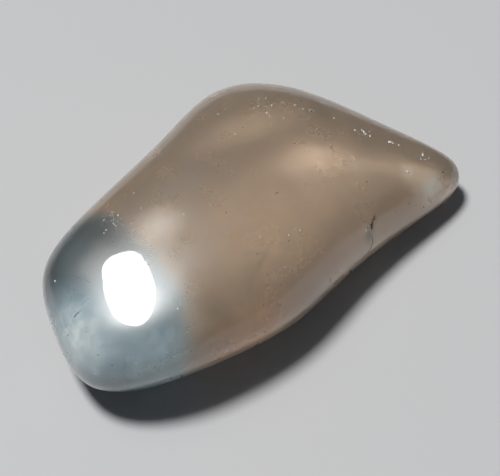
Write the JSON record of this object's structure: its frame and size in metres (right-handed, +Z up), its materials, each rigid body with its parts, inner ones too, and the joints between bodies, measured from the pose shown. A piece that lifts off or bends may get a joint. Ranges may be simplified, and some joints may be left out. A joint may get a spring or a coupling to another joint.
{
  "type": "tumbled topaz pebble",
  "caption": "Smooth tumbled topaz pebble with a blunt end and a beak, clear champagne brown with a blue end, resting on a small flat spot.",
  "frame": {"origin": "on the surface the stone rests on, under the middle of its bounding box", "axes": "+X along the stone from its blunt blue end to its beak, +Y across it to the high-shouldered side, +Z up"},
  "size_m": [0.0396, 0.0241, 0.0099],
  "materials": {
    "topaz": "tumbled polish, see-through, champagne brown with a light blue end"
  },
  "bodies": {
    "root": {"topaz": "topaz"}
  },
  "joints": []
}
